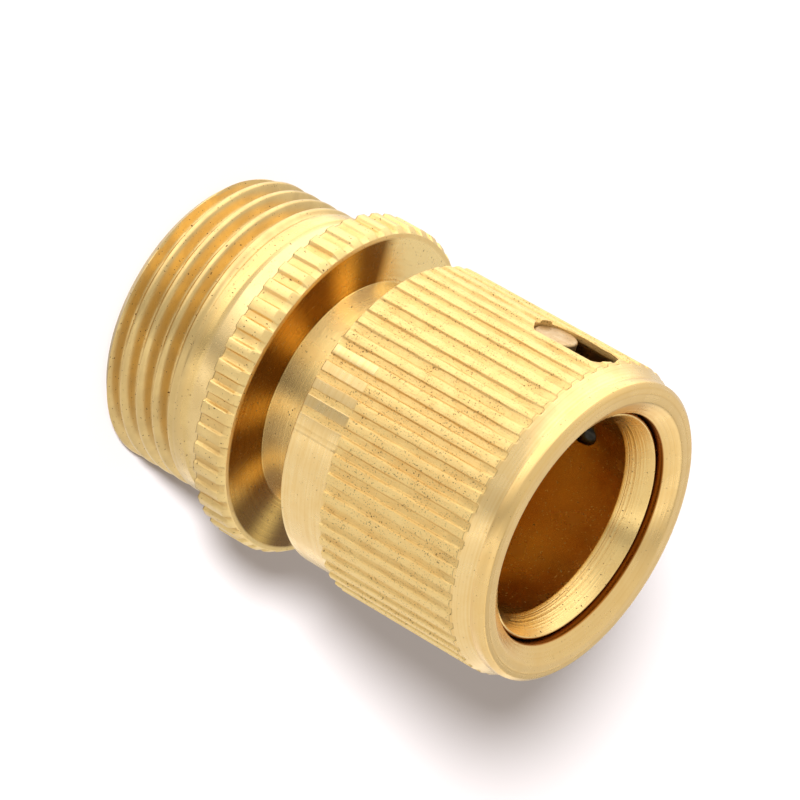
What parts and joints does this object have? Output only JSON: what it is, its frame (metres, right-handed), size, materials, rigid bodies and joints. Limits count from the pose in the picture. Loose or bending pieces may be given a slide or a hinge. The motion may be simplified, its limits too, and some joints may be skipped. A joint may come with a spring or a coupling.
{
  "type": "quick coupling",
  "caption": "Brass garden-hose quick coupling: a knurled sleeve slides back against a spring to free ball locks round the mouth; male pipe thread and knurled flange behind.",
  "frame": {"origin": "centre of the thread's end face, on which the coupling stands", "axes": "+Z along the coupling's axis towards the mouth, +X through the guide pin"},
  "size_m": [0.0302, 0.0302, 0.0424],
  "materials": {
    "brass_body": "turned, satin",
    "brass_sleeve": "knurled, satin",
    "brass_pin": "turned, satin",
    "steel_spring": "drawn wire",
    "steel_ball": "polished"
  },
  "bodies": {
    "body": {"body": "brass_body", "guide_pin": "brass_pin", "return_spring": "steel_spring"},
    "sleeve": {"sleeve": "brass_sleeve"},
    "ball_1": {"locking_ball_1": "steel_ball"},
    "ball_2": {"locking_ball_2": "steel_ball"},
    "ball_3": {"locking_ball_3": "steel_ball"}
  },
  "joints": [
    {"name": "sleeve_slide", "type": "slide", "parent": "body", "child": "sleeve", "axis": [0, 0, -1], "range_m": [0, 0.004], "stiffness_N_per_m": 1500, "springref_m": -0.003, "deforming": ["return_spring"]},
    {"name": "ball_1_slide", "type": "slide", "parent": "body", "child": "ball_1", "axis": [0.5, 0.866, 0], "range_m": [0, 0.0009]},
    {"name": "ball_2_slide", "type": "slide", "parent": "body", "child": "ball_2", "axis": [-1, 0, 0], "range_m": [0, 0.0009]},
    {"name": "ball_3_slide", "type": "slide", "parent": "body", "child": "ball_3", "axis": [0.5, -0.866, 0], "range_m": [0, 0.0009]}
  ],
  "couplings": [
    {"joint": "ball_1_slide", "follows": "sleeve_slide", "ratio": 0.22},
    {"joint": "ball_2_slide", "follows": "sleeve_slide", "ratio": 0.22},
    {"joint": "ball_3_slide", "follows": "sleeve_slide", "ratio": 0.22}
  ]
}
